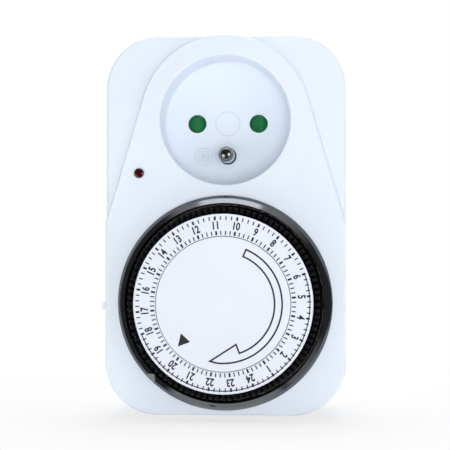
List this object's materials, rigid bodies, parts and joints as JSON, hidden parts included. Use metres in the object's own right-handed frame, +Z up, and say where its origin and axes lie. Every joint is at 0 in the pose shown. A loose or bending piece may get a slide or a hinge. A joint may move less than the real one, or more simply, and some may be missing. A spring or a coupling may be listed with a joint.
{
  "type": "plug-in timer switch",
  "caption": "Mains plug-in timer: a plug at the back, an earthed socket in front, and a turning 24-hour dial with push-in tappets that switch the socket on and off.",
  "frame": {"origin": "midway between the two plug pins, in the plug face", "axes": "+Y along the plug pins into the wall, so the front looks along -Y; +Z up; +X to the right of someone facing the timer"},
  "size_m": [0.0748, 0.0845, 0.115],
  "materials": {
    "casing_white": "white moulded housing plastic with a soft sheen",
    "dial_white": "white dial plastic, printed in black",
    "black_gloss": "glossy black plastic",
    "black_matte": "black plastic, slightly satin",
    "shutter_green": "green moulded plastic",
    "nickel": "nickel-plated brass",
    "brass": "plain brass strip",
    "steel": "zinc-plated steel",
    "spring_steel": "spring wire",
    "lens_red": "translucent red plastic",
    "lamp_glass": "small neon lamp",
    "resistor": "lacquered resistor body",
    "gear_plastic": "natural acetal",
    "copper": "enamelled copper winding"
  },
  "bodies": {
    "casing": {"front_cover": "casing_white", "rear_cover": "casing_white", "plug_body": "casing_white", "socket_well": "casing_white", "socket_floor": "casing_white", "bezel_ring": "black_gloss", "centre_disc": "dial_white", "dial_post": "steel", "earth_pin": "nickel", "earth_sleeve": "brass", "earth_strap": "brass", "fixed_contact": "nickel", "guide_screws": "steel", "housing_screws": "steel", "idler_shaft": "steel", "indicator_lamp": "lamp_glass", "indicator_lens": "lens_red", "lamp_resistor": "resistor", "lever_pin": "steel", "lever_spring": "spring_steel", "live_contact": "brass", "live_feed": "brass", "mechanism_plate": "gear_plastic", "motor_can": "steel", "motor_coil": "copper", "motor_lid": "steel", "motor_screws": "steel", "neutral_contact": "brass", "plate_screws": "steel", "plug_pin_left": "nickel", "plug_pin_right": "nickel", "shutter_guide": "black_matte", "shutter_spring": "spring_steel"},
    "dial": {"dial_drum": "black_matte", "number_ring": "dial_white"},
    "idler": {"idler_gear": "gear_plastic"},
    "pinion": {"motor_pinion": "brass"},
    "lever": {"follower_lever": "gear_plastic"},
    "leaf": {"contact_leaf": "brass", "moving_contact": "nickel"},
    "shutter": {"safety_shutter": "shutter_green"},
    "slider": {"override_slider": "casing_white"},
    "tappets_00_06": {"tappets_00_06": "black_matte"},
    "tappets_06_12": {"tappets_06_12": "black_matte"},
    "tappets_12_18": {"tappets_12_18": "black_matte"},
    "tappets_18_24": {"tappets_18_24": "black_matte"}
  },
  "joints": [
    {"name": "dial_turn", "type": "hinge", "parent": "casing", "child": "dial", "pos_m": [0, -0.05, -0.0548], "axis": [0, 1, 0], "continuous": true},
    {"name": "idler_spin", "type": "hinge", "parent": "casing", "child": "idler", "pos_m": [0.01485, -0.043, -0.03995], "axis": [0, 1, 0], "continuous": true},
    {"name": "pinion_spin", "type": "hinge", "parent": "casing", "child": "pinion", "pos_m": [0.00636, -0.042, -0.04844], "axis": [0, 1, 0], "continuous": true},
    {"name": "push_tappets_00_06", "type": "slide", "parent": "dial", "child": "tappets_00_06", "axis": [0, 1, 0], "range_m": [0, 0.0025]},
    {"name": "push_tappets_06_12", "type": "slide", "parent": "dial", "child": "tappets_06_12", "axis": [0, 1, 0], "range_m": [0, 0.0025]},
    {"name": "push_tappets_12_18", "type": "slide", "parent": "dial", "child": "tappets_12_18", "axis": [0, 1, 0], "range_m": [0, 0.0025]},
    {"name": "push_tappets_18_24", "type": "slide", "parent": "dial", "child": "tappets_18_24", "axis": [0, 1, 0], "range_m": [0, 0.0025]},
    {"name": "lever_rock", "type": "hinge", "parent": "casing", "child": "lever", "pos_m": [-0.027, -0.0424, -0.0737], "axis": [0, 0, 1], "range_deg": [0, 14], "stiffness_Nm_per_rad": 0.02, "springref_deg": -11.46},
    {"name": "leaf_swing", "type": "hinge", "parent": "casing", "child": "leaf", "pos_m": [-0.02875, -0.0327, -0.0455], "axis": [0, 1, 0], "range_deg": [0, 5.6]},
    {"name": "shutter_slide", "type": "slide", "parent": "casing", "child": "shutter", "axis": [1, 0, 0], "range_m": [0, 0.0064], "stiffness_N_per_m": 150, "springref_m": -0.003, "deforming": ["shutter_spring"]},
    {"name": "override_slide", "type": "slide", "parent": "casing", "child": "slider", "axis": [0, 0, 1], "range_m": [0, 0.0028]}
  ],
  "couplings": [
    {"joint": "idler_spin", "follows": "dial_turn", "ratio": -6},
    {"joint": "pinion_spin", "follows": "dial_turn", "ratio": 18},
    {"joint": "leaf_swing", "follows": "lever_rock", "ratio": 0.4}
  ]
}
